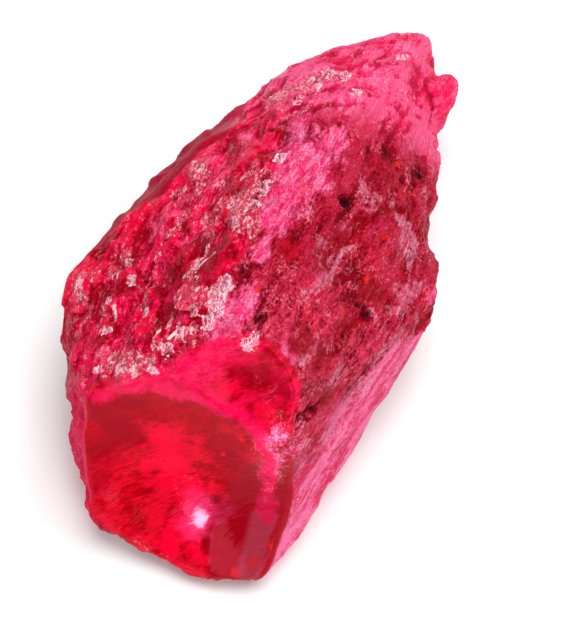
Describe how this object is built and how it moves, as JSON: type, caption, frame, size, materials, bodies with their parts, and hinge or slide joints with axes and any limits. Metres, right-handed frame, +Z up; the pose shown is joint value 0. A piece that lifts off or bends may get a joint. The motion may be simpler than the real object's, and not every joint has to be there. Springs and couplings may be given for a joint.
{
  "type": "raw ruby crystal",
  "caption": "Rough ruby crystal, one broken piece with a crystalline crust, a streaked weathered slope and a glassy hollowed front, lying on a flat parting face.",
  "frame": {"origin": "centre of the bounding box in plan, on the plane of the flat parting face the stone lies on", "axes": "+Z is up, out of the surface the stone lies on; +Y runs along the stone's length, from the front tip under the glassy hollow to the far tip; +X is to the right, seen from the glassy front"},
  "size_m": [0.045, 0.0676, 0.0292],
  "materials": {
    "raw_ruby": "satin"
  },
  "bodies": {
    "root": {"ruby_crystal": "raw_ruby"}
  },
  "joints": []
}
